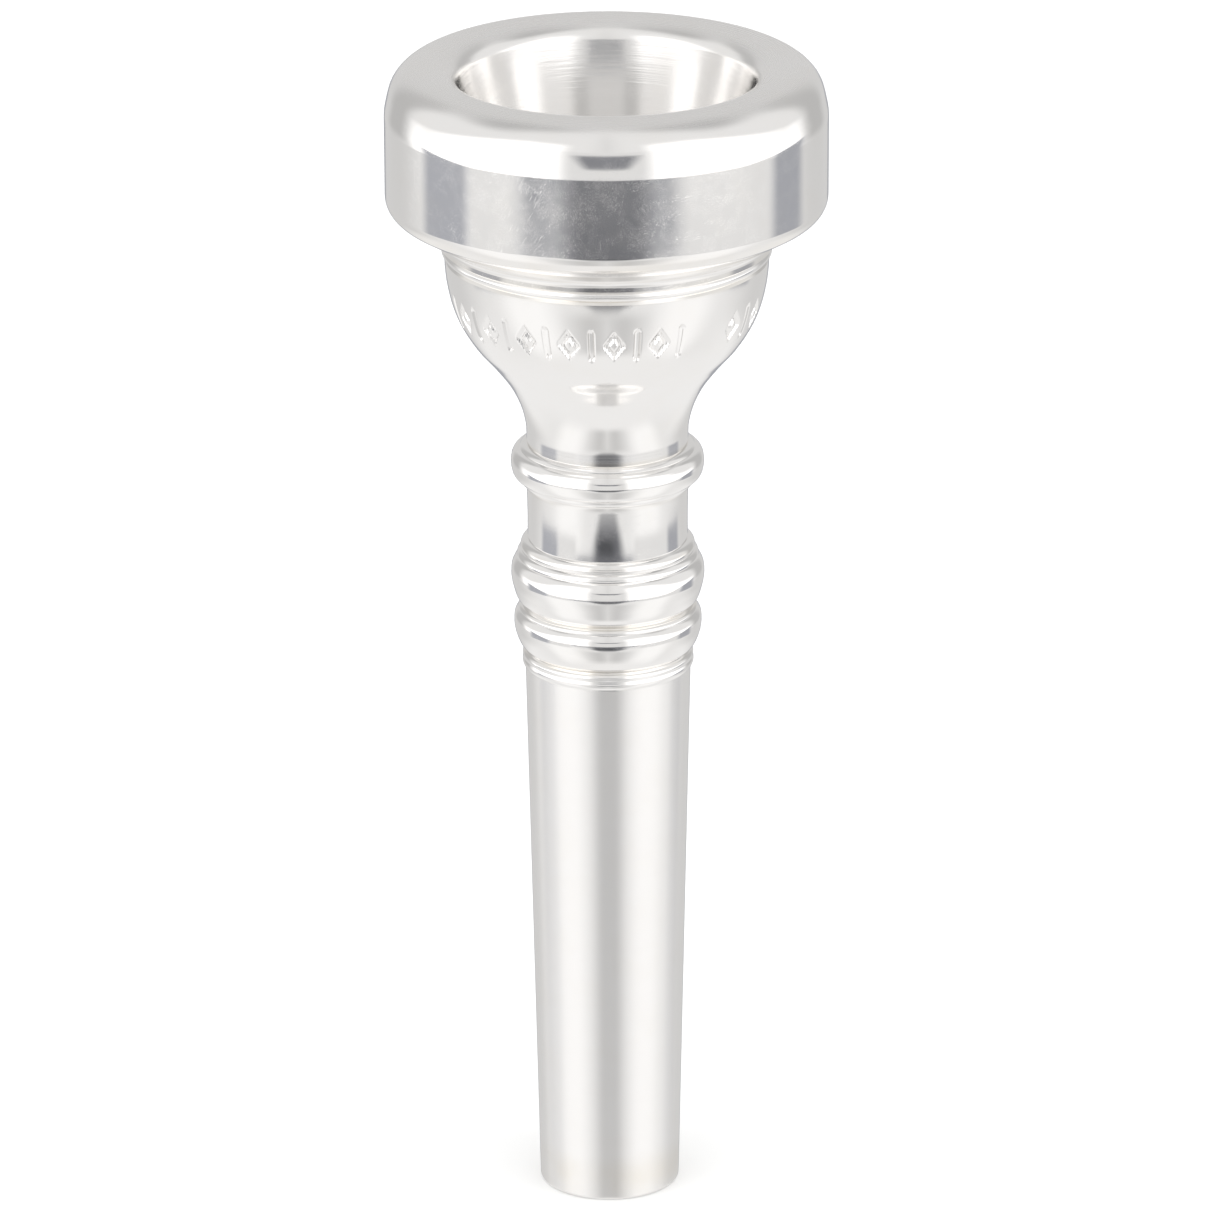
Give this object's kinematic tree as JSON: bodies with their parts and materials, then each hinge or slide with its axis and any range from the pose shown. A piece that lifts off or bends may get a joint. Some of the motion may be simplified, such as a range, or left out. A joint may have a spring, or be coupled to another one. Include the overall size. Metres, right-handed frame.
{
  "type": "brass instrument mouthpiece",
  "caption": "Take-apart turned brass mouthpiece, silver plated: wide rim, deep cup, beaded barrel and long tapered shank standing on its small end.",
  "frame": {"origin": "centre of the small end face of the shank, which is the lowest face of the part", "axes": "+Z along the bore axis from the shank's small end to the rim; +X and +Y are square to it, with the long row of stamped marks on the -Y side"},
  "size_m": [0.027, 0.027, 0.0733],
  "materials": {
    "rim_silver_plate": "mirror-polished silver plate on brass",
    "cup_silver_plate": "polished silver plate on brass, shallow stamped ornament",
    "backbore_silver_plate": "silver plate on brass, polished beads, satin shank"
  },
  "bodies": {
    "backbore_body": {"backbore": "backbore_silver_plate"},
    "cup_body": {"cup": "cup_silver_plate"},
    "rim_body": {"rim": "rim_silver_plate"}
  },
  "joints": [
    {"name": "cup_lift", "type": "slide", "parent": "backbore_body", "child": "cup_body", "axis": [0, 0, 1], "range_m": [0, 0.02]},
    {"name": "rim_lift", "type": "slide", "parent": "cup_body", "child": "rim_body", "axis": [0, 0, 1], "range_m": [0, 0.02]}
  ]
}
